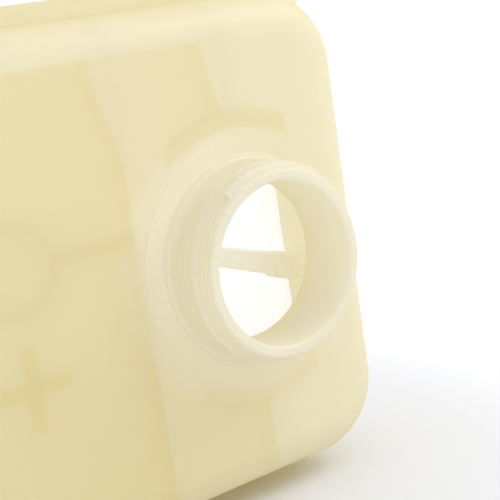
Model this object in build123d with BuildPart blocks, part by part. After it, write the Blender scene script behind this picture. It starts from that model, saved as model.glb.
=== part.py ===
from build123d import *
from math import radians, sqrt, tan
import os

# Coolant expansion tank: two moulded shells, welded round a flange, and steel sleeves in the two lugs.
# Millimetres. The origin is on the filler neck's axis, in the outer face that the neck stands on.
# +X runs along the tank, towards the end that is near the neck. The neck points to -Y. +Z is up when
# the tank lies on its broad side, as it does on a bench.

# Body: distances from the neck's axis to the outside of each wall, at the split between the shells
reach_right = 49.0
reach_left = 157.0
reach_top = 79.4
reach_bottom = 73.5
corner_radius = 25.0
upper_depth = 42.0
lower_depth = 62.0
wall = 2.5
draft = 1.5
face_edge_radius = 12.0
back_edge_radius = 11.0

# Flange that the two shells are welded at
flange_reach = 5.8
flange_thickness = 4.0
weld_groove = 0.7

# Filler neck
neck_height = 18.75
neck_bore_radius = 24.55
neck_outer_radius = 28.0
neck_rim_bevel = 0.7
collar_radius = 30.6
collar_height = 1.8
pad_radius = 37.75
pad_height = 0.5

# Cap thread: one ridge that climbs the neck
thread_crest_radius = 30.0
thread_pitch = 6.0
thread_turns = 1.6
thread_start = 7.0
thread_root_width = 3.0
thread_crest_width = 1.2
thread_bite = 0.4

# Inner walls and ribs of the upper shell
baffle_thickness = 2.2
baffle_pitch = 38.4
far_baffle_steps = 3
neck_ring_radius = 42.5
neck_ring_depth = 5.0
neck_ring_angle = 66.0
rib_thickness = 2.2
vent_low = 15.4
vent_width = 13.5
vent_depth = 9.0
rib_depth = 11.0
socket_distance = 78.0
socket_radius = 12.2
socket_depth = 14.0
cross_drop = 17.5
cross_span = 24.0

# Locating leg on the right end wall, and the thick root that carries it
leg_centre = -16.0
leg_root_width = 8.0
leg_tip_width = 6.6
leg_thickness = 3.0
leg_clearance = 0.4
leg_rise = 9.0
knuckle_width = 8.6
knuckle_thickness = 4.2
knuckle_drop = 8.0
knuckle_round = 2.6

# Flow slots in the lower shell's inner walls
slot_width = 22.0
slot_depth = 12.0
slot_spacing = 70.0

# Mounting lugs and their sleeves
lug_radius = 11.2
lug_hole_radius = 5.6
top_lug_outset = 3.5
top_lug_rise = 5.6
lug_straight = 15.0
lug_gusset = 18.0
sleeve_clearance = 0.05
sleeve_wall = 2.1
sleeve_proud = 0.3

# Hose nipples
vent_nipple_radius = 4.5
vent_nipple_wall = 1.5
vent_nipple_length = 26.0
vent_nipple_height = 44.0
vent_nipple_depth = 21.0
supply_nipple_radius = 10.0
supply_nipple_wall = 2.0
supply_nipple_length = 34.0
supply_nipple_distance = 96.0
supply_nipple_height = -36.0
barb_rise = 1.1
barb_length = 4.5

# Locating peg on the left end wall, for a rubber grommet
peg_radius = 5.0
peg_length = 14.0
peg_shoulder_radius = 8.0
peg_shoulder_height = 1.5
peg_height = -34.0
peg_depth = 66.0

# Foot on the broad side that the tank lies on
foot_length = 64.0
foot_width = 12.0
foot_inset = 9.0
foot_round = 3.0

# How far a cut runs past what it cuts
cut_past = 2.0

# Planes and centres that the sizes give
split_plane = Plane.XZ.offset(-upper_depth)
face_plane = Plane.XZ
back = upper_depth + lower_depth
body_length = reach_left + reach_right
body_height = reach_top + reach_bottom
body_x = (reach_right - reach_left) / 2
body_z = (reach_top - reach_bottom) / 2
flange_foot = -reach_bottom - flange_reach
wall_lean = tan(radians(draft))
baffle_places = (0.0, -baffle_pitch, -far_baffle_steps * baffle_pitch)
lug_centres = (
    (reach_right + top_lug_outset, reach_top + top_lug_rise),
    (-reach_left - top_lug_outset, reach_top + top_lug_rise),
)


def half_body(depth, edge_radius, inset=0.0, bevelled=False):
    """One half of the body as a solid: drafted walls and a rounded far edge, smaller all over by inset.

    A positive depth grows from the split towards the neck, a negative one away from it. A bevelled edge
    has a flat in place of the round, as far in as the round's own middle.
    """
    towards_neck = depth > 0
    with BuildPart() as body:
        with BuildSketch(split_plane):
            with Locations((body_x, body_z)):
                RectangleRounded(body_length - 2 * inset, body_height - 2 * inset, corner_radius - inset)
        extrude(amount=depth - inset if towards_neck else depth + inset, taper=draft)
        far_face = body.faces().sort_by(Axis.Y)[0 if towards_neck else -1]
        if bevelled:
            chamfer(far_face.edges(), (edge_radius - inset) * (2 - sqrt(2)))
        else:
            fillet(far_face.edges(), edge_radius - inset)
    return body.part


def flange_half(direction):
    """Half of the flange with its lugs, from the split plane towards the neck (+1) or away (-1)."""
    with BuildPart() as half:
        with BuildSketch(split_plane) as outline:
            with Locations((body_x, body_z)):
                RectangleRounded(
                    body_length + 2 * flange_reach,
                    body_height + 2 * flange_reach,
                    corner_radius + flange_reach,
                )
            for side, (x, z) in zip((1, -1), lug_centres):
                with Locations((x, z)):
                    Circle(lug_radius)
                with BuildLine():
                    Polyline(
                        (x + side * lug_radius, z),
                        (x + side * lug_radius, z - lug_straight),
                        (x - side * top_lug_outset, z - lug_straight - lug_gusset),
                        (x - side * (lug_radius + corner_radius), z - lug_straight - lug_gusset),
                        (x - side * (lug_radius + corner_radius), z - top_lug_rise),
                        (x - side * lug_radius, z),
                        close=True,
                    )
                make_face()
            with Locations((body_x, body_z)):
                RectangleRounded(
                    body_length - wall, body_height - wall, corner_radius - wall / 2, mode=Mode.SUBTRACT
                )
            with Locations(*lug_centres):
                Circle(lug_hole_radius, mode=Mode.SUBTRACT)
        extrude(amount=direction * flange_thickness)
        rim = half.faces().sort_by(Axis.Y)[-1 if direction > 0 else 0]
        chamfer(rim.outer_wire().edges(), weld_groove)
    return half.part


def hose_nipple(plane, radius, nipple_wall, length):
    """A hose nipple that stands on a plane: a plain shank and a barbed end."""
    with BuildPart() as nipple:
        with BuildSketch(Plane(plane.origin, x_dir=plane.x_dir, z_dir=-plane.y_dir)):
            with BuildLine():
                Polyline(
                    (0, -wall / 2),
                    (radius, -wall / 2),
                    (radius, length - barb_length),
                    (radius + barb_rise, length - barb_length),
                    (radius - nipple_wall / 2, length),
                    (0, length),
                    close=True,
                )
            make_face()
        revolve(axis=Axis(plane.origin, plane.z_dir))
    return nipple.part


def bore_through(plane, radius, length):
    """The hole of a nipple, from inside the shell's wall to past the nipple's end."""
    with BuildPart() as bore:
        with BuildSketch(plane.offset(-wall - cut_past)):
            Circle(radius)
        extrude(amount=wall + length + 2 * cut_past)
    return bore.part


# The halves of the body: outside, inside, and halfway through the wall, where the inner walls end
upper_outside = half_body(upper_depth, face_edge_radius)
upper_inside = half_body(upper_depth, face_edge_radius, wall, bevelled=True)
upper_middle = half_body(upper_depth, face_edge_radius, wall / 2)
lower_outside = half_body(-lower_depth, back_edge_radius)
lower_inside = half_body(-lower_depth, back_edge_radius, wall, bevelled=True)
lower_middle = half_body(-lower_depth, back_edge_radius, wall / 2)

# Inner walls of the upper shell: three baffles from the face to the split. The first stops at the
# ring under the neck, and the second has an air vent against the face.
with BuildPart() as upper_walls:
    with BuildSketch(face_plane):
        with Locations((baffle_places[0], body_z)):
            Rectangle(baffle_thickness, body_height)
        Circle(neck_ring_radius, mode=Mode.SUBTRACT)
        with Locations(*[(x, body_z) for x in baffle_places[1:]]):
            Rectangle(baffle_thickness, body_height)
    extrude(amount=-upper_depth)
    with BuildSketch(face_plane):
        with Locations(*[(x, vent_low + vent_width / 2) for x in baffle_places[1:]]):
            Rectangle(baffle_thickness + 2 * cut_past, vent_width)
    extrude(amount=-(wall + vent_depth), mode=Mode.SUBTRACT)
    add(upper_middle, mode=Mode.INTERSECT)

# Ribs on the inside of the face: the arcs above and below the neck, the socket with its web, and the
# cross
with BuildPart() as face_ribs:
    with BuildSketch(face_plane):
        for upward in (90, -90):
            first = upward - neck_ring_angle / 2
            with BuildLine():
                inner = CenterArc((0, 0), neck_ring_radius - rib_thickness / 2, first, neck_ring_angle)
                outer = CenterArc((0, 0), neck_ring_radius + rib_thickness / 2, first, neck_ring_angle)
                Line(inner @ 0, outer @ 0)
                Line(inner @ 1, outer @ 1)
            make_face()
    extrude(amount=-(wall + neck_ring_depth))
    with BuildSketch(face_plane):
        with Locations((-socket_distance, vent_low)):
            Circle(socket_radius + rib_thickness / 2)
    extrude(amount=-(wall + socket_depth))
    with BuildSketch(face_plane):
        with Locations(((baffle_places[1] + baffle_places[2]) / 2, vent_low)):
            Rectangle(baffle_places[1] - baffle_places[2], rib_thickness)
        with Locations((-socket_distance, -cross_drop)):
            Rectangle(cross_span, rib_thickness)
            Rectangle(rib_thickness, cross_span)
    extrude(amount=-(wall + rib_depth))
    with BuildSketch(face_plane):
        with Locations((-socket_distance, vent_low)):
            Circle(socket_radius - rib_thickness / 2)
    extrude(amount=-(wall + socket_depth), mode=Mode.SUBTRACT)

# Locating leg: a thick root on the right end wall that ends in a rounded knuckle past the split, and
# a tapered leg that follows the lower shell's wall, a little clear of it, down to the rounding of the back
leg_outer = reach_right - wall - leg_clearance
leg_tip = back - back_edge_radius
with BuildPart() as leg_root:
    with BuildSketch(Plane.XZ.offset(leg_rise - upper_depth)):
        with Locations((leg_outer - knuckle_thickness, leg_centre)):
            Rectangle(knuckle_thickness + wall + cut_past, knuckle_width, align=(Align.MIN, Align.CENTER))
    extrude(amount=-leg_rise)
    add(upper_middle, mode=Mode.INTERSECT)
with BuildPart() as knuckle:
    with BuildSketch(split_plane):
        with Locations((leg_outer - knuckle_drop * wall_lean, leg_centre)):
            Rectangle(knuckle_thickness, knuckle_width, align=(Align.MAX, Align.CENTER))
    extrude(amount=-knuckle_drop)
    fillet(knuckle.faces().sort_by(Axis.Y)[-1].edges().filter_by(Axis.X), knuckle_round)
with BuildPart() as leg:
    with BuildSketch(split_plane):
        with Locations((leg_outer, leg_centre)):
            Rectangle(leg_thickness, leg_root_width, align=(Align.MAX, Align.CENTER))
    with BuildSketch(Plane.XZ.offset(-leg_tip)):
        with Locations((leg_outer - (leg_tip - upper_depth) * wall_lean, leg_centre)):
            Rectangle(leg_thickness, leg_tip_width, align=(Align.MAX, Align.CENTER))
    loft(ruled=True)

# Filler neck: the tube, the collar at its foot and the shallow pad round it, turned about the axis
with BuildPart() as neck:
    with BuildSketch(Plane.XY):
        with BuildLine():
            Polyline(
                (neck_bore_radius, wall / 2),
                (pad_radius, wall / 2),
                (pad_radius, -pad_height),
                (collar_radius + collar_height, -pad_height),
                (collar_radius, -pad_height - collar_height),
                (neck_outer_radius, -pad_height - collar_height),
                (neck_outer_radius, -neck_height),
                (neck_bore_radius, -neck_height),
                close=True,
            )
        make_face()
    revolve(axis=Axis.Y)
    rim_face = neck.faces().sort_by(Axis.Y)[0]
    chamfer(rim_face.edges(), neck_rim_bevel)

# Cap thread: a ridge swept along a helix, with its foot let into the neck
with BuildPart() as thread:
    with BuildLine():
        climb = Helix(
            pitch=thread_pitch,
            height=thread_pitch * thread_turns,
            radius=neck_outer_radius,
            center=(0, -thread_start, 0),
            direction=(0, -1, 0),
        )
    start = climb @ 0
    outward = Vector(start.X, 0, start.Z).normalized()
    with BuildSketch(Plane(origin=start, x_dir=outward, z_dir=climb % 0)):
        with BuildLine():
            Polyline(
                (-thread_bite, -thread_root_width / 2),
                (thread_crest_radius - neck_outer_radius, -thread_crest_width / 2),
                (thread_crest_radius - neck_outer_radius, thread_crest_width / 2),
                (-thread_bite, thread_root_width / 2),
                close=True,
            )
        make_face()
    sweep(path=climb, is_frenet=True)

vent_wall = -reach_left + (upper_depth - vent_nipple_depth) * wall_lean
vent_plane = Plane(
    origin=(vent_wall, vent_nipple_depth, vent_nipple_height),
    x_dir=(0, 1, 0),
    z_dir=(-1, 0, 0),
)
supply_plane = Plane(
    origin=(-supply_nipple_distance, back, supply_nipple_height),
    x_dir=(1, 0, 0),
    z_dir=(0, 1, 0),
)

# Upper shell: face, side walls, neck with its thread, inner walls, ribs, leg, half the flange
with BuildPart() as upper_shell:
    add(upper_outside)
    add(upper_inside, mode=Mode.SUBTRACT)
    add(upper_walls.part)
    add(face_ribs.part)
    add(flange_half(1))
    add(leg_root.part)
    add(knuckle.part)
    add(leg.part)
    add(neck.part)
    add(thread.part)
    add(hose_nipple(vent_plane, vent_nipple_radius, vent_nipple_wall, vent_nipple_length))
    with BuildSketch(Plane.XZ.offset(-wall - cut_past)):
        Circle(neck_bore_radius)
    extrude(amount=neck_height + wall + 2 * cut_past, mode=Mode.SUBTRACT)
    add(
        bore_through(vent_plane, vent_nipple_radius - vent_nipple_wall, vent_nipple_length),
        mode=Mode.SUBTRACT,
    )

# Inner walls of the lower shell: the two baffles that go on from the upper ones, with flow slots
# against the back
with BuildPart() as lower_walls:
    with BuildSketch(split_plane):
        with Locations(*[(x, body_z) for x in baffle_places[1:]]):
            Rectangle(baffle_thickness, body_height)
    extrude(amount=-lower_depth)
    with BuildSketch(Plane.XZ.offset(-(back - wall - slot_depth))):
        for x in baffle_places[1:]:
            with Locations((x, body_z - slot_spacing / 2), (x, body_z + slot_spacing / 2)):
                Rectangle(baffle_thickness + 2 * cut_past, slot_width)
    extrude(amount=-slot_depth, mode=Mode.SUBTRACT)
    add(lower_middle, mode=Mode.INTERSECT)

# Foot: a pad in the middle of the broad side, as proud as the flange, so that the tank lies level
foot_depth = back - foot_inset - foot_width
with BuildPart() as foot:
    with BuildSketch(Plane.XZ.offset(-foot_depth)):
        with Locations((body_x, flange_foot)):
            Rectangle(foot_length, flange_reach + back_edge_radius, align=(Align.CENTER, Align.MIN))
    extrude(amount=-foot_width)
    fillet(foot.faces().sort_by(Axis.Z)[0].edges().filter_by(Axis.Y), foot_round)

# Locating peg, with the shoulder that the grommet sits against
peg_wall = -reach_left + (peg_depth - upper_depth) * wall_lean
with BuildPart() as peg:
    with BuildSketch(Plane(origin=(peg_wall, peg_depth, peg_height), x_dir=(0, 1, 0), z_dir=(0, 0, 1))):
        with BuildLine():
            Polyline(
                (0, -wall / 2),
                (peg_shoulder_radius, -wall / 2),
                (peg_shoulder_radius, peg_shoulder_height),
                (peg_radius, peg_shoulder_height),
                (peg_radius, peg_length),
                (0, peg_length),
                close=True,
            )
        make_face()
    revolve(axis=Axis((peg_wall, peg_depth, peg_height), (1, 0, 0)))

# Lower shell: back, side walls, inner walls, foot, peg, supply nipple, half the flange
with BuildPart() as lower_shell:
    add(lower_outside)
    add(foot.part)
    add(peg.part)
    add(lower_inside, mode=Mode.SUBTRACT)
    add(lower_walls.part)
    add(flange_half(-1))
    add(hose_nipple(supply_plane, supply_nipple_radius, supply_nipple_wall, supply_nipple_length))
    add(
        bore_through(supply_plane, supply_nipple_radius - supply_nipple_wall, supply_nipple_length),
        mode=Mode.SUBTRACT,
    )


# Lug sleeves: steel tubes that take the bolts' clamping load
sleeve_radius = lug_hole_radius - sleeve_clearance
sleeves = []
for x, z in lug_centres:
    with BuildPart() as sleeve:
        with BuildSketch(Plane.XZ.offset(flange_thickness + sleeve_proud - upper_depth)):
            with Locations((x, z)):
                Circle(sleeve_radius)
                Circle(sleeve_radius - sleeve_wall, mode=Mode.SUBTRACT)
        extrude(amount=-2 * (flange_thickness + sleeve_proud))
    sleeves.append(sleeve.part)

# Label and write each piece
os.makedirs("parts", exist_ok=True)
upper_shell.part.label = "upper_shell"
export_step(upper_shell.part, "parts/upper_shell.step")
lower_shell.part.label = "lower_shell"
export_step(lower_shell.part, "parts/lower_shell.step")
for number, part in enumerate(sleeves, start=1):
    part.label = f"lug_sleeve_{number}"
    export_step(part, f"parts/lug_sleeve_{number}.step")
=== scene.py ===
# %% [markdown]
# This notebook dresses a coolant expansion tank from a car's engine bay. The real one is moulded from
# a milky plastic in two shells, welded round a flange, and has steel sleeves in its lugs. The solids
# come from the CAD model and stay as they are. What is added here is the plastic's look, with the
# walls inside that show through it, and a white table like the one a shop photographs parts on.

import bpy
from mathutils import Matrix, Vector


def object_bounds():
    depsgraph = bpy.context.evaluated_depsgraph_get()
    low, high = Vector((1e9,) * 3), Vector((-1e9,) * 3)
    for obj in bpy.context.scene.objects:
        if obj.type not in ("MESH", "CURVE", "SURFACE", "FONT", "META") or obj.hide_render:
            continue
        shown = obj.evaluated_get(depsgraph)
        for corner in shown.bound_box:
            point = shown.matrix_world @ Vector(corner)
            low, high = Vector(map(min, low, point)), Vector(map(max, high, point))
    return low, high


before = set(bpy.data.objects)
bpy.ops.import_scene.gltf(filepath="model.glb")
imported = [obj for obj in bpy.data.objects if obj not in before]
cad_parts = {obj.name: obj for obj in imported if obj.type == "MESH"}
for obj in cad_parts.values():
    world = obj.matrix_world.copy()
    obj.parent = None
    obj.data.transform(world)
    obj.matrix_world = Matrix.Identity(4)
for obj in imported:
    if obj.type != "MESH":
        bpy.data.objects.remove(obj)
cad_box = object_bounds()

print("nodes:", sorted(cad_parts))
print("CAD box:", [[round(value, 4) for value in corner] for corner in cad_box])

# %% [markdown]
# Blender builds a material from nodes, and most of the lines below make a node and join two sockets.
# A few helpers keep those lines short: one makes a node and sets its sockets by name, one starts a
# material with an empty tree and an output, and one starts a node group with named sockets.

# %% Helpers for node trees
def add_node(tree, kind, **values):
    """Make a shader node and set its input sockets, named with underscores for spaces."""
    node = tree.nodes.new(kind)
    for name, value in values.items():
        node.inputs[name.replace("_", " ")].default_value = value
    return node


def new_material(name):
    """Make an empty node material, and return it with its tree and its output node."""
    material = bpy.data.materials.new(name)
    material.use_nodes = True
    tree = material.node_tree
    tree.nodes.clear()
    output = tree.nodes.new("ShaderNodeOutputMaterial")
    return material, tree, output


def new_group(name, inputs, outputs):
    """Make a node group, and return it with the sockets that bring values in and take them out."""
    group = bpy.data.node_groups.new(name, "ShaderNodeTree")
    for title, value in inputs:
        socket = group.interface.new_socket(title, in_out="INPUT", socket_type="NodeSocketFloat")
        socket.default_value = value
    for title, kind in outputs:
        group.interface.new_socket(title, in_out="OUTPUT", socket_type="NodeSocket" + kind)
    given = group.nodes.new("NodeGroupInput").outputs
    results = group.nodes.new("NodeGroupOutput").inputs
    return group, given, results


print("tree helpers ready")

# %% [markdown]
# Much of a material is plain arithmetic on masks and colours. These helpers make a Math node from
# numbers or sockets, multiply several values, take the largest of them, and blend two colours.

# %% Helpers for arithmetic
def calculate(tree, operation, *values):
    """Make a Math node from numbers and sockets, and return its result."""
    node = tree.nodes.new("ShaderNodeMath")
    node.operation = operation
    for place, value in enumerate(values):
        if isinstance(value, (int, float)):
            node.inputs[place].default_value = value
        else:
            tree.links.new(value, node.inputs[place])
    return node.outputs[0]


def multiply(tree, first, *others):
    """The product of numbers and sockets."""
    for other in others:
        first = calculate(tree, "MULTIPLY", first, other)
    return first


def largest(tree, first, *others):
    """The largest of some numbers and sockets."""
    for other in others:
        first = calculate(tree, "MAXIMUM", first, other)
    return first


def mix_colour(tree, mask, first, second):
    """Blend two colours by a mask. Each is a plain colour or another node's result."""
    mix = tree.nodes.new("ShaderNodeMix")
    mix.data_type = "RGBA"
    tree.links.new(mask, mix.inputs["Factor"])
    for colour, socket in ((first, mix.inputs["A"]), (second, mix.inputs["B"])):
        if isinstance(colour, tuple):
            socket.default_value = (*colour, 1.0)
        else:
            tree.links.new(colour, socket)
    return mix.outputs["Result"]


print("arithmetic helpers ready")

# %% [markdown]
# Masks say where an effect is: 1 inside and 0 outside, with a soft edge, because milky plastic blurs
# whatever lies behind it. A Map Range node set to Smooth Step gives one soft edge, and the distance
# from a middle line, put through such an edge, gives a band.

# %% Helpers for masks
def soft_edge(tree, value, zero_at, one_at):
    """A mask that is 0 on one side, 1 on the other, and rises smoothly between two values."""
    ramp = add_node(tree, "ShaderNodeMapRange", From_Min=zero_at, From_Max=one_at)
    ramp.interpolation_type = "SMOOTHSTEP"
    tree.links.new(value, ramp.inputs["Value"])
    return ramp.outputs["Result"]


def soft_band(tree, value, middle, half_width, blur):
    """A mask that is 1 within half a width of a middle line."""
    distance = calculate(tree, "ABSOLUTE", calculate(tree, "SUBTRACT", value, middle))
    return soft_edge(tree, distance, half_width + blur, half_width)


def between(tree, mask, at_zero, at_one):
    """A value that goes from one number to another as a mask goes from 0 to 1."""
    return calculate(tree, "MULTIPLY_ADD", mask, at_one - at_zero, at_zero)


def distance_from(tree, first, second, middle_first, middle_second):
    """How far a point of a plane is from a middle point, in metres, from its two coordinates."""
    aside = calculate(tree, "SUBTRACT", first, middle_first)
    above = calculate(tree, "SUBTRACT", second, middle_second)
    squares = calculate(tree, "MULTIPLY_ADD", aside, aside, calculate(tree, "MULTIPLY", above, above))
    return calculate(tree, "SQRT", squares)


print("mask helpers ready")

# %% [markdown]
# Moulded plastic is never quite even. The melt leaves slow streaks where it flowed, and the tool's
# spark-eroded face leaves a fine satin grain. Both shells show the same two effects, so they are one
# node group. Its inputs say how strong each effect is, and it puts out a mask for the colour, a
# roughness and a normal. It reads object coordinates, so it needs no unwrapped surface. The part of
# the tool that forms the filler neck is turned on a lathe, so the neck has fine rings as well.

# %% Group: moulded surface
streak_stretch = (0.35, 1.0, 1.0)   # the streaks run along X, where a low value draws them out
turned_rings = 150.0                # scale of the rings along the neck's axis


def make_moulded_surface_group():
    """Flow streaks, satin grain and turned rings, as a colour mask, a roughness and a normal."""
    group, given, results = new_group(
        "moulded_surface",
        inputs=(("Streak Scale", 18.0), ("Grain Scale", 900.0), ("Roughness", 0.4),
                ("Roughness Spread", 0.08), ("Grain Height", 0.00002), ("Ring Share", 0.0)),
        outputs=(("Streaks", "Float"), ("Rings", "Float"), ("Roughness", "Float"), ("Normal", "Vector")),
    )
    place = group.nodes.new("ShaderNodeTexCoord")
    stretch = add_node(group, "ShaderNodeMapping", Scale=streak_stretch)
    group.links.new(place.outputs["Object"], stretch.inputs["Vector"])
    streaks = add_node(group, "ShaderNodeTexNoise", Detail=3.0, Distortion=0.6)
    group.links.new(stretch.outputs["Vector"], streaks.inputs["Vector"])
    group.links.new(given["Streak Scale"], streaks.inputs["Scale"])
    group.links.new(streaks.outputs["Fac"], results["Streaks"])

    grain = add_node(group, "ShaderNodeTexNoise", Detail=2.0)
    group.links.new(place.outputs["Object"], grain.inputs["Vector"])
    group.links.new(given["Grain Scale"], grain.inputs["Scale"])
    rings = add_node(group, "ShaderNodeTexWave", Scale=turned_rings, Distortion=0.6)
    rings.bands_direction = "Y"
    group.links.new(place.outputs["Object"], rings.inputs["Vector"])
    group.links.new(rings.outputs["Fac"], results["Rings"])
    ring_height = multiply(group, rings.outputs["Fac"], given["Ring Share"])
    bump = add_node(group, "ShaderNodeBump", Strength=1.0)
    group.links.new(given["Grain Height"], bump.inputs["Distance"])
    group.links.new(calculate(group, "ADD", grain.outputs["Fac"], ring_height), bump.inputs["Height"])
    group.links.new(bump.outputs["Normal"], results["Normal"])

    centred = calculate(group, "SUBTRACT", streaks.outputs["Fac"], 0.5)
    rough = calculate(group, "MULTIPLY_ADD", centred, given["Roughness Spread"], given["Roughness"])
    group.links.new(rough, results["Roughness"])
    return group


moulded_surface = make_moulded_surface_group()
print("group:", moulded_surface.name, "items", [item.name for item in moulded_surface.interface.items_tree])

# %% [markdown]
# Behind the front wall stand two baffles, a half baffle, a ring round the neck and a few ribs. On the
# real tank they show as soft, slightly deeper shapes, because light that comes through the wall
# there has passed more plastic. A shader with plain translucency scatters that picture away, so a
# second group paints it back as masks: partly the deeper tint of thicker plastic, partly painted
# shade where less light gets through. They take their places from the CAD model's own values, in
# metres: X runs along the tank, Y into it and Z up, all from the middle of the neck at the face.

# %% Places of the baffles and the ring
half_baffle_x, near_baffle_x, far_baffle_x = 0.0, -0.0384, -0.1152
face_top = 0.0665                       # where the flat of the face ends
bend_start, bend_reach = 0.034, 0.0062  # the baffles' lines bend from here up, by this much
ring_radius, ring_wall = 0.0425, 0.0046
ring_middle_x, ring_reach = -0.0018, 0.0222
print("baffles at", half_baffle_x, near_baffle_x, far_baffle_x, "ring", ring_radius)

# %% [markdown]
# A chamber's mask rises across the baffle that it starts at. The pocket between the half baffle and
# the near one is deepest beside the half baffle, and stops at the ring. Near the top the baffles'
# corners are rounded, so their lines bend there. Low down on the left less light comes in, so a
# painted shade makes that part read a little deeper, and each baffle gets a narrow painted shade
# beside it.

# %% Masks of the chambers and the baffles
edge_before, edge_after = 0.0008, 0.0014                # how far a soft edge reaches from its baffle
pocket_full_x, pocket_least = -0.008, 0.7
# where the painted shade low down starts and is full, in height and along the tank
low_from, low_to = 0.03, -0.065
left_from, left_to, right_share = 0.03, -0.08, 0.25
half_shade = (half_baffle_x - 0.0028, 0.0012, 0.003)    # middle, half width and blur
near_shade = (near_baffle_x - 0.0024, 0.0010, 0.002)
far_shade = (far_baffle_x - 0.0024, 0.0010, 0.002)


def bend_near_top(tree, x, z):
    """X moved with the baffles' rounded corners, so that an edge in it bends near the top."""
    return calculate(tree, "MULTIPLY_ADD", soft_edge(tree, z, bend_start, face_top), bend_reach, x)


def past_baffle(tree, x, baffle_x):
    """1 past a baffle and 0 before it."""
    return soft_edge(tree, x, baffle_x + edge_before, baffle_x - edge_after)


def pocket_mask(tree, x, bent_x, outside_ring):
    """The pocket between the half baffle and the near one."""
    fullness = between(tree, soft_edge(tree, x, near_baffle_x, pocket_full_x), pocket_least, 1.0)
    return multiply(tree, past_baffle(tree, bent_x, half_baffle_x), outside_ring, fullness)


def low_left_shade_mask(tree, x, z, outside_ring):
    """Painted shade low down, most of all on the left."""
    left_share = between(tree, soft_edge(tree, x, left_from, left_to), right_share, 1.0)
    return multiply(tree, soft_edge(tree, z, low_from, low_to), left_share, outside_ring)


def shade_mask(tree, x, bent_x, outside_ring):
    """The narrow shades beside the three baffles."""
    half = multiply(tree, soft_band(tree, bent_x, *half_shade), outside_ring)
    return largest(tree, half, soft_band(tree, bent_x, *near_shade), soft_band(tree, x, *far_shade))


print("chamber masks ready, pocket from", near_baffle_x, "to", half_baffle_x)

# %% [markdown]
# The ring shows as two arcs, above and below the neck, and the lower one is fainter. On the left a
# web runs to a round socket, and a small cross of ribs stands below it. Where they meet, the
# strongest of the three counts.

# %% Masks of the ring and the ribs
line_blur = 0.001
arc_middle = ring_radius + 0.0006
arc_low_z, arc_high_z, lower_arc_share = -0.02, 0.02, 0.6
web_height, web_line, web_share = 0.0154, (0.0012, 0.0018), 0.6     # a line is half width and blur
socket_middle, socket_radius = (-0.078, 0.0154), 0.0122
socket_line, socket_share = (0.0008, 0.0014), 0.35
web_gap = 0.002                                                     # the web fades out at the socket
cross_middle, cross_reach = (-0.078, -0.0175), 0.012
cross_outer, cross_inner = 0.0036, 0.0010


def arcs_mask(tree, x, z, from_neck):
    """The two arcs of the ring round the neck."""
    round_neck = soft_band(tree, from_neck, arc_middle, ring_wall / 2, line_blur)
    along = soft_band(tree, x, ring_middle_x, ring_reach, line_blur)
    strength = between(tree, soft_edge(tree, z, arc_low_z, arc_high_z), lower_arc_share, 1.0)
    return multiply(tree, round_neck, along, strength)


def cross_mask(tree, x, z):
    """The cross of ribs: near one of its two middle lines, and within its reach of both."""
    aside = calculate(tree, "ABSOLUTE", calculate(tree, "SUBTRACT", x, cross_middle[0]))
    above = calculate(tree, "ABSOLUTE", calculate(tree, "SUBTRACT", z, cross_middle[1]))
    on_arm = soft_edge(tree, calculate(tree, "MINIMUM", aside, above), cross_outer, cross_inner)
    farther = calculate(tree, "MAXIMUM", aside, above)
    within = soft_edge(tree, farther, cross_reach + line_blur, cross_reach - line_blur)
    return multiply(tree, on_arm, within)


def ribs_mask(tree, x, z, far_chamber):
    """The web, the socket that it runs to, and the cross."""
    from_socket = distance_from(tree, x, z, *socket_middle)
    socket = soft_band(tree, from_socket, socket_radius, *socket_line)
    web = multiply(tree, soft_band(tree, z, web_height, *web_line), far_chamber,
                   soft_edge(tree, from_socket, socket_radius - web_gap, socket_radius))
    return largest(tree, multiply(tree, web, web_share), multiply(tree, socket, socket_share),
                   cross_mask(tree, x, z))


print("rib masks ready, socket at", socket_middle, "cross at", cross_middle)

# %% [markdown]
# All those shapes are on the flat of the face alone. The side walls are a little deeper than the
# face, because they are seen at a slant, and the weld flange less so.

# %% Masks of the face and the sides
face_edge = (0.0022, 0.0002)        # depths behind the face at which the mask is 0 and 1
side_edge = (0.0005, 0.012)
face_top_blur = 0.0015
flange_front, flange_blur, flange_share = 0.038, 0.001, 0.5


def face_mask(tree, y, z):
    """The flat of the face."""
    below_top = soft_edge(tree, z, face_top + face_top_blur, face_top)
    return multiply(tree, soft_edge(tree, y, *face_edge), below_top)


def sides_mask(tree, y):
    """The side walls, and less strongly the flange."""
    on_flange = soft_edge(tree, y, flange_front - flange_blur, flange_front)
    return multiply(tree, soft_edge(tree, y, *side_edge), between(tree, on_flange, 1.0, flange_share))


print("face and side masks ready, flange from", flange_front)

# %% [markdown]
# Light from the open neck reaches the pad round it, the neck itself, and inside it the locating leg
# and the end wall, so each of these gets a mask, and later a tone of painted light of its own. The
# end wall leans, as every moulded wall does so that the tool can leave it, and the mask leans with it.

# %% Masks of the neck, its pad and the leg
pad_depth = (0.0035, 0.0028)        # depths behind the face at which the mask is 0 and 1
neck_depth = (-0.0002, -0.0012)
leg_depth = (0.006, 0.010)
pad_radius, pad_blur = 0.03775, 0.004
pad_right_x, pad_left_x = 0.02, -0.015
pad_low_z, pad_low_share = -0.03, 0.3
neck_middle_radius, wall_blur = 0.0263, 0.0003
leg_root_x, leg_blur = 0.030, 0.001
leg_half_height, leg_height_blur = 0.030, 0.006
end_wall_x, wall_lean = 0.0467, 0.0262      # the wall's inside at the face, and its slope


def lit_pad_mask(tree, x, y, z, from_neck):
    """The pad round the neck, on its left and upper side, where light from the bore is painted."""
    on_pad = soft_edge(tree, from_neck, ring_radius, pad_radius - pad_blur)
    on_left = soft_edge(tree, x, pad_right_x, pad_left_x)
    upwards = between(tree, soft_edge(tree, z, pad_low_z, 0.0), pad_low_share, 1.0)
    return multiply(tree, on_pad, on_left, upwards, soft_edge(tree, y, *pad_depth))


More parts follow.
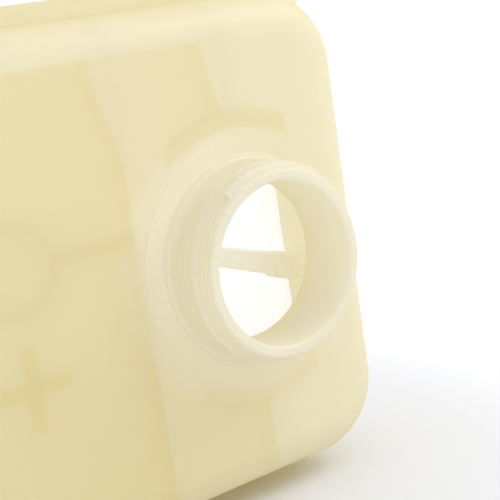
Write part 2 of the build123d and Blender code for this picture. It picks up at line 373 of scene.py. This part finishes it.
def neck_masks(tree, y, from_neck):
    """The whole neck, and the outer half of its wall."""
    neck = soft_edge(tree, y, *neck_depth)
    outside = soft_edge(tree, from_neck, neck_middle_radius - wall_blur, neck_middle_radius + wall_blur)
    return neck, multiply(tree, neck, outside)


def leg_mask(tree, x, y, z):
    """The locating leg, and the inside of the end wall beside it, which get painted light."""
    leaned_x = calculate(tree, "MULTIPLY_ADD", y, -wall_lean, x)
    past_root = soft_edge(tree, x, leg_root_x - leg_blur, leg_root_x + leg_blur)
    inside = soft_edge(tree, leaned_x, end_wall_x + wall_blur, end_wall_x - wall_blur)
    level = soft_band(tree, z, 0.0, leg_half_height, leg_height_blur)
    return multiply(tree, past_root, inside, soft_edge(tree, y, *leg_depth), level)


print("neck and leg masks ready, leg from", leg_root_x, "to", end_wall_x)

# %% [markdown]
# The group puts the masks together. Depth is 0 where the front wall alone is seen and rises where
# more plastic lies behind it and where shade is painted, by the share of each mask that its inputs
# state. The other outputs are the masks of the pad, of the neck, of the neck's outside and of the leg.

# %% Group: walls that show through
def make_shows_through_group():
    """How deep the plastic reads from the walls behind it and from painted shade, and where the pad, the
    neck and the leg are.
    """
    group, given, results = new_group(
        "shows_through",
        inputs=(("Pocket", 0.23), ("Far Chamber", 0.19), ("End Chamber", 0.06), ("Low Shade", 0.07),
                ("Baffle Shade", 0.10), ("Ring", 0.25), ("Ribs", 0.22), ("Sides", 0.32)),
        outputs=[(name, "Float") for name in ("Depth", "Lit Pad", "Neck", "Neck Outside", "Leg")],
    )
    place = group.nodes.new("ShaderNodeTexCoord")
    axes = group.nodes.new("ShaderNodeSeparateXYZ")
    group.links.new(place.outputs["Object"], axes.inputs["Vector"])
    x, y, z = axes.outputs["X"], axes.outputs["Y"], axes.outputs["Z"]
    from_neck = distance_from(group, x, z, 0.0, 0.0)
    outside_ring = soft_edge(group, from_neck, ring_radius, ring_radius + ring_wall)
    bent_x = bend_near_top(group, x, z)
    far_chamber = past_baffle(group, bent_x, near_baffle_x)

    depth = 0.0
    for name, mask in (
        ("Pocket", pocket_mask(group, x, bent_x, outside_ring)),
        ("Far Chamber", far_chamber),
        ("End Chamber", past_baffle(group, x, far_baffle_x)),
        ("Low Shade", low_left_shade_mask(group, x, z, outside_ring)),
        ("Baffle Shade", shade_mask(group, x, bent_x, outside_ring)),
        ("Ring", arcs_mask(group, x, z, from_neck)),
        ("Ribs", ribs_mask(group, x, z, far_chamber)),
    ):
        depth = calculate(group, "MULTIPLY_ADD", mask, given[name], depth)
    depth = multiply(group, depth, face_mask(group, y, z))
    depth = calculate(group, "MULTIPLY_ADD", sides_mask(group, y), given["Sides"], depth)

    neck, neck_outside = neck_masks(group, y, from_neck)
    group.links.new(depth, results["Depth"])
    group.links.new(lit_pad_mask(group, x, y, z, from_neck), results["Lit Pad"])
    group.links.new(neck, results["Neck"])
    group.links.new(neck_outside, results["Neck Outside"])
    group.links.new(leg_mask(group, x, y, z), results["Leg"])
    return group


shows_through = make_shows_through_group()
print("group:", shows_through.name, "nodes", len(shows_through.nodes))

# %% [markdown]
# The plastic's colour goes from a pale to a deep tone, as the depth of the plastic, the painted shade
# and its streaks say. The pad, the neck and the leg then get tones of painted light over it.

# %% Tint of the plastic
# painted light: tones for the light from the open neck on the pad, the neck and the leg; the ring tone
# draws the neck's turned rings
lit_pad_tone = (0.998, 0.97, 0.86)
lit_neck_tone = (0.937, 0.911, 0.80)
neck_line_tone = (0.90, 0.87, 0.75)
lit_leg_tone = (0.999, 0.995, 0.955)


def tint_plastic(tree, surface, pale, deep, base_tone, wall_share, streak_share):
    """A colour between two tones, by what shows through the wall, the painted shade and the streaks, with
    painted light on the pad, the neck and the leg.
    """
    centred = calculate(tree, "SUBTRACT", surface.outputs["Streaks"], 0.5)
    tone = calculate(tree, "MULTIPLY_ADD", centred, streak_share, base_tone)
    if wall_share == 0.0:
        return mix_colour(tree, tone, pale, deep)
    walls = tree.nodes.new("ShaderNodeGroup")
    walls.node_tree = shows_through
    tree.links.new(walls.outputs["Neck Outside"], surface.inputs["Ring Share"])
    tone = calculate(tree, "MULTIPLY_ADD", walls.outputs["Depth"], wall_share, tone)
    tint = mix_colour(tree, tone, pale, deep)
    tint = mix_colour(tree, walls.outputs["Lit Pad"], tint, lit_pad_tone)
    lines = multiply(tree, surface.outputs["Rings"], walls.outputs["Neck Outside"])
    neck_colour = mix_colour(tree, lines, lit_neck_tone, neck_line_tone)
    tint = mix_colour(tree, walls.outputs["Neck"], tint, neck_colour)
    return mix_colour(tree, walls.outputs["Leg"], tint, lit_leg_tone)


print("tones:", lit_pad_tone, lit_neck_tone, neck_line_tone, lit_leg_tone)

# %% [markdown]
# The shells are polypropylene: clear enough to show the coolant's level, milky enough to blur it. A
# Principled shader with transmission loses light when a ray crosses many rough walls, and a hollow
# tank then goes dark. So the milk is made from two shaders that lose nothing: a plain Principled
# surface for the light that comes back, and a Translucent one for the light that goes on. The share
# that passes says how much of each. The lower shell is clearer, so it also has a Transparent share,
# which leaves the ribs and baffles behind it in sight.

# %% Material: milky shell plastic
def make_shell_plastic(name, passed, clear, roughness, **tint_values):
    """Milky moulded plastic, from the shares of light that pass and go straight through."""
    material, tree, output = new_material(name)
    surface = tree.nodes.new("ShaderNodeGroup")
    surface.node_tree = moulded_surface
    surface.inputs["Roughness"].default_value = roughness
    tint = tint_plastic(tree, surface, **tint_values)

    plastic = add_node(tree, "ShaderNodeBsdfPrincipled", IOR=1.49)
    tree.links.new(tint, plastic.inputs["Base Color"])
    tree.links.new(surface.outputs["Roughness"], plastic.inputs["Roughness"])
    tree.links.new(surface.outputs["Normal"], plastic.inputs["Normal"])
    onward = tree.nodes.new("ShaderNodeBsdfTranslucent")
    tree.links.new(tint, onward.inputs["Color"])
    milky = add_node(tree, "ShaderNodeMixShader", Fac=passed)
    tree.links.new(plastic.outputs["BSDF"], milky.inputs[1])
    tree.links.new(onward.outputs["BSDF"], milky.inputs[2])
    if clear == 0.0:
        tree.links.new(milky.outputs["Shader"], output.inputs["Surface"])
        return material
    gap = tree.nodes.new("ShaderNodeBsdfTransparent")
    both = add_node(tree, "ShaderNodeMixShader", Fac=clear)
    tree.links.new(milky.outputs["Shader"], both.inputs[1])
    tree.links.new(gap.outputs["BSDF"], both.inputs[2])
    tree.links.new(both.outputs["Shader"], output.inputs["Surface"])
    return material


cream_plastic = make_shell_plastic(
    "cream_plastic", passed=0.5, clear=0.0, roughness=0.4,
    pale=(0.962, 0.941, 0.85), deep=(0.888, 0.812, 0.45), base_tone=0.26, wall_share=1.0, streak_share=0.2,
)
pale_plastic = make_shell_plastic(
    "pale_plastic", passed=0.6, clear=0.6, roughness=0.3,
    pale=(0.992, 0.98, 0.945), deep=(0.98, 0.963, 0.905), base_tone=0.5, wall_share=0.0, streak_share=0.8,
)
print("plastics:", cream_plastic.name, pale_plastic.name)

# %% [markdown]
# The sleeves in the lugs are short steel tubes. They are turned on a lathe and zinc plated, so their
# surface is a dull bright metal with fine rings round the tube.

# %% Material: plated steel
bare_steel, plated_tone = (0.55, 0.56, 0.56), (0.72, 0.71, 0.66)


def make_plated_steel():
    """Turned and plated steel with fine rings and small differences in shine."""
    material, tree, output = new_material("plated_steel")
    place = tree.nodes.new("ShaderNodeTexCoord")
    rings = add_node(tree, "ShaderNodeTexWave", Scale=900.0, Distortion=1.5, Detail=2.0)
    rings.bands_direction = "Y"
    tree.links.new(place.outputs["Object"], rings.inputs["Vector"])
    blotches = add_node(tree, "ShaderNodeTexNoise", Scale=220.0, Detail=4.0)
    tree.links.new(place.outputs["Object"], blotches.inputs["Vector"])
    shine = add_node(tree, "ShaderNodeMapRange", To_Min=0.25, To_Max=0.45)
    tree.links.new(blotches.outputs["Fac"], shine.inputs["Value"])
    bump = add_node(tree, "ShaderNodeBump", Strength=0.6, Distance=0.00003)
    tree.links.new(rings.outputs["Fac"], bump.inputs["Height"])
    steel = add_node(tree, "ShaderNodeBsdfPrincipled", Metallic=1.0)
    colour = mix_colour(tree, blotches.outputs["Fac"], bare_steel, plated_tone)
    tree.links.new(colour, steel.inputs["Base Color"])
    tree.links.new(shine.outputs["Result"], steel.inputs["Roughness"])
    tree.links.new(bump.outputs["Normal"], steel.inputs["Normal"])
    tree.links.new(steel.outputs["BSDF"], output.inputs["Surface"])
    return material


plated_steel = make_plated_steel()
print("metal:", plated_steel.name)

# %% [markdown]
# The solids from the CAD model already ride on their body and have the right shape, so they only get
# their materials. A node's object keeps its mesh: only what is in its material slots changes.

# %% Dress the CAD nodes
def dress(node, material):
    """Give a CAD node one material."""
    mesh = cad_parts[node].data
    mesh.materials.clear()
    mesh.materials.append(material)
    print("dressed", node, "with", material.name)


dress("upper_shell", cream_plastic)
dress("lower_shell", pale_plastic)
for node in sorted(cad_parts):
    if node.startswith("lug_sleeve"):
        dress(node, plated_steel)

# %% [markdown]
# The tank lies on a white table that runs on to the horizon. The table is a diffuse surface, so it
# keeps the tank's soft shadow. Its far part glows up to white for the rays that look at it, straight,
# through plastic or in a reflection, and near the tank the glow is left out, which paints a light
# grey shade round it. The glow sends no light onto the tank.

# %% Table
table_height = cad_box[0][2]
table_reach = 30.0
table_white = (0.788, 0.797, 0.832)
table_glow = 0.3
# round this middle the glow is left out, which paints a grey shade near the tank
table_middle = (-0.054, 0.06)
table_near, table_far = 0.14, 0.27      # the glow rises between these distances from the middle


def seen_directly(tree):
    """1 for a ray that looks straight, through glass or by reflection, and 0 for diffuse light."""
    rays = tree.nodes.new("ShaderNodeLightPath")
    return largest(tree, rays.outputs["Is Glossy Ray"], rays.outputs["Is Transmission Ray"],
                   rays.outputs["Is Camera Ray"])


def make_table_material():
    """White diffuse table whose far part glows for direct looks alone, leaving a painted light grey shade
    near the tank.
    """
    material, tree, output = new_material("table_white")
    diffuse = add_node(tree, "ShaderNodeBsdfDiffuse", Color=(*table_white, 1.0))
    glow = add_node(tree, "ShaderNodeEmission", Color=(1.0, 1.0, 1.0, 1.0))
    place = tree.nodes.new("ShaderNodeTexCoord")
    axes = tree.nodes.new("ShaderNodeSeparateXYZ")
    tree.links.new(place.outputs["Object"], axes.inputs["Vector"])
    away = distance_from(tree, axes.outputs["X"], axes.outputs["Y"], *table_middle)
    far_glow = multiply(tree, soft_edge(tree, away, table_near, table_far), table_glow)
    tree.links.new(multiply(tree, seen_directly(tree), far_glow), glow.inputs["Strength"])
    both = tree.nodes.new("ShaderNodeAddShader")
    tree.links.new(diffuse.outputs["BSDF"], both.inputs[0])
    tree.links.new(glow.outputs["Emission"], both.inputs[1])
    tree.links.new(both.outputs["Shader"], output.inputs["Surface"])
    return material


table_mesh = bpy.data.meshes.new("table")
signs = ((-1, -1), (1, -1), (1, 1), (-1, 1))
corners = [(x * table_reach, y * table_reach, table_height) for x, y in signs]
table_mesh.from_pydata(corners, [], [(0, 1, 2, 3)])
table_mesh.materials.append(make_table_material())
table = bpy.data.objects.new("table", table_mesh)
bpy.context.scene.collection.objects.link(table)
print("table at height", round(table_height, 4))

# %% [markdown]
# A tent of white cloth lights such photographs from all round. The world is that tent, as bright as
# white paper. One large lamp to the right of the camera gives the round shapes some form.

# %% World and lamp
world_light = 1.0
world = bpy.data.worlds.new("light_tent")
bpy.context.scene.world = world
world.use_nodes = True
tree = world.node_tree
tree.nodes.clear()
sky = add_node(tree, "ShaderNodeBackground", Color=(1.0, 1.0, 1.0, 1.0), Strength=world_light)
world_output = tree.nodes.new("ShaderNodeOutputWorld")
tree.links.new(sky.outputs["Background"], world_output.inputs["Surface"])


def add_softbox(name, place, target, size, power):
    """An area lamp that faces a point."""
    lamp = bpy.data.lights.new(name, "AREA")
    lamp.shape = "SQUARE"
    lamp.size = size
    lamp.energy = power
    box = bpy.data.objects.new(name, lamp)
    box.location = place
    box.rotation_euler = (Vector(target) - Vector(place)).to_track_quat("-Z", "Y").to_euler()
    bpy.context.scene.collection.objects.link(box)
    print("lamp", name, power, "W")


tank_middle = [(low + high) / 2 for low, high in zip(*cad_box)]
add_softbox("softbox_right", (1.0, -0.5, 0.9), tank_middle, size=0.7, power=6.0)

# %% [markdown]
# A hollow milky body passes light to and fro many times before it comes out. Blender stops a ray
# after a few turns to save time, and the tank would go grey, so the ray gets more turns here.

# %% Light paths
cycles = bpy.context.scene.cycles
cycles.max_bounces = 32
cycles.diffuse_bounces = 24
cycles.glossy_bounces = 12
cycles.transmission_bounces = 24
print("bounces", cycles.max_bounces, cycles.diffuse_bounces, cycles.transmission_bounces)

# %% [markdown]
# The camera stands where the photo was taken from. Its place and tilt were worked out from the
# circles of the neck, whose real sizes are known, so the picture can be laid over the photo.

# %% Camera
eye = Vector((-0.2216, -0.3030, 0.0775))
view_direction = Vector((0.5801, 0.7907, -0.1955)).normalized()
picture_up = Vector((0.2327, 0.0691, 0.9701))
lens_length, sensor_width = 90.5, 36.0

camera_data = bpy.data.cameras.new("camera")
camera_data.lens = lens_length
camera_data.sensor_width = sensor_width
camera_data.clip_start = 0.01
camera = bpy.data.objects.new("camera", camera_data)
bpy.context.scene.collection.objects.link(camera)
right = view_direction.cross(picture_up).normalized()
up = right.cross(view_direction)
axes = Matrix((right, up, -view_direction)).transposed()
camera.matrix_world = Matrix.Translation(eye) @ axes.to_4x4()
bpy.context.scene.camera = camera
bpy.context.scene.view_settings.view_transform = "Standard"
print("camera", [round(value, 3) for value in eye], "lens", lens_length, "mm")

# %% [markdown]
# At the end the number of CAD nodes is printed.

# %% Count of nodes
print("nodes dressed:", len(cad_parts))
